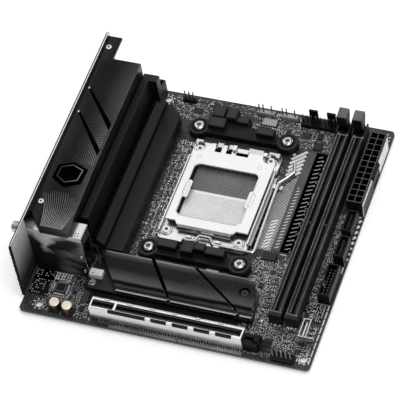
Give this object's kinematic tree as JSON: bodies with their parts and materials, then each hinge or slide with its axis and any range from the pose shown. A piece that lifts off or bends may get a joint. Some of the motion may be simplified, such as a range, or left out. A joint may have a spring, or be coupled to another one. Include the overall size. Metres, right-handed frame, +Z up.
{
  "type": "motherboard",
  "caption": "Square small-form motherboard with a hinged land-grid processor socket, paired memory slots, an armoured expansion slot, finned regulator cooler and covered rear ports.",
  "frame": {"origin": "midway between the two front mounting holes, on the underside of the board where the case standoffs touch it", "axes": "+Z up out of the component side, +Y from the expansion-slot edge towards the power-header edge, +X from the rear ports towards the power-connector edge"},
  "size_m": [0.1815, 0.1709, 0.0482],
  "materials": {
    "board_laminate": "satin solder mask",
    "connector_plastic": "moulded matt",
    "socket_plastic": "moulded matt",
    "bracket_plastic": "moulded satin",
    "latch_plastic": "moulded satin",
    "light_plastic": "moulded satin",
    "white_plastic": "gloss",
    "bright_steel": "satin",
    "shield_steel": "bright",
    "plate_steel": "black coated",
    "screw_steel": "bright plated",
    "contact_metal": "gold plated",
    "heatsink_metal": "dark anodised",
    "cover_metal": "printed satin",
    "pad_rubber": "matt",
    "foam_rubber": "matt foam",
    "film": "satin film",
    "chip_body": "matt",
    "ceramic_parts": "satin",
    "capacitor_can": "satin",
    "cell_steel": "satin",
    "lead_sheath": "satin"
  },
  "bodies": {
    "board": {"antenna_jacks": "contact_metal", "atx_power_connector": "connector_plastic", "audio_jack_stack": "connector_plastic", "backplate": "plate_steel", "backplate_insulator": "film", "battery_connector": "white_plastic", "battery_lead": "lead_sheath", "bios_switch": "connector_plastic", "capacitors": "capacitor_can", "chips": "chip_body", "chipset": "chip_body", "coin_cell": "cell_steel", "cooler_bracket_far": "bracket_plastic", "cooler_bracket_near": "bracket_plastic", "cooler_screws": "screw_steel", "cpu_power_connector": "connector_plastic", "dimm_slot_a": "connector_plastic", "dimm_slot_b": "connector_plastic", "display_port_stack": "bright_steel", "header_pins": "contact_metal", "heatsink_screws": "screw_steel", "io_cover": "cover_metal", "io_cover_screws": "screw_steel", "io_shield": "shield_steel", "io_shield_gasket": "foam_rubber", "lan_usb_stack": "bright_steel", "lighting_headers": "light_plastic", "m2_base_plate": "plate_steel", "m2_heatsink": "heatsink_metal", "m2_pillars": "screw_steel", "m2_screws": "screw_steel", "m2_socket": "connector_plastic", "pcb": "board_laminate", "pcie_armour": "bright_steel", "pcie_slot": "connector_plastic", "pin_headers": "connector_plastic", "power_pins": "contact_metal", "sata_ports": "connector_plastic", "slot_contacts": "contact_metal", "smd_passives": "ceramic_parts", "socket_contacts": "contact_metal", "socket_frame": "bright_steel", "socket_housing": "socket_plastic", "socket_screws": "screw_steel", "thermal_pads": "pad_rubber", "usb_c_header": "bright_steel", "usb_c_port": "bright_steel", "usb_header": "connector_plastic", "usb_stacks": "bright_steel", "vrm_chokes": "chip_body", "vrm_heatsink": "heatsink_metal", "vrm_power_stages": "chip_body", "wifi_bracket": "bright_steel", "wifi_module": "chip_body"},
    "load_plate": {"load_plate": "bright_steel"},
    "load_lever": {"load_lever": "bright_steel"},
    "dimm_latch_a": {"dimm_latch_a": "latch_plastic"},
    "dimm_latch_b": {"dimm_latch_b": "latch_plastic"},
    "pcie_latch": {"pcie_latch": "latch_plastic"},
    "bios_button": {"bios_button": "latch_plastic"}
  },
  "joints": [
    {"name": "load_plate_hinge", "type": "hinge", "parent": "board", "child": "load_plate", "pos_m": [-0.00163, 0.12765, 0.0058], "axis": [-1, 0, 0], "range_deg": [0, 130]},
    {"name": "load_lever_hinge", "type": "hinge", "parent": "board", "child": "load_lever", "pos_m": [0.00837, 0.05935, 0.0049], "axis": [1, 0, 0], "range_deg": [0, 125]},
    {"name": "dimm_latch_a_hinge", "type": "hinge", "parent": "board", "child": "dimm_latch_a", "pos_m": [0.05537, 0.15525, 0.0052], "axis": [-1, 0, 0], "range_deg": [0, 25]},
    {"name": "dimm_latch_b_hinge", "type": "hinge", "parent": "board", "child": "dimm_latch_b", "pos_m": [0.06457, 0.15525, 0.0052], "axis": [-1, 0, 0], "range_deg": [0, 25]},
    {"name": "pcie_latch_hinge", "type": "hinge", "parent": "board", "child": "pcie_latch", "pos_m": [0.05097, 0.001, 0.0044], "axis": [0, 1, 0], "range_deg": [0, 20]},
    {"name": "bios_button_slide", "type": "slide", "parent": "board", "child": "bios_button", "axis": [1, 0, 0], "range_m": [0, 0.0008], "stiffness_N_per_m": 400}
  ]
}
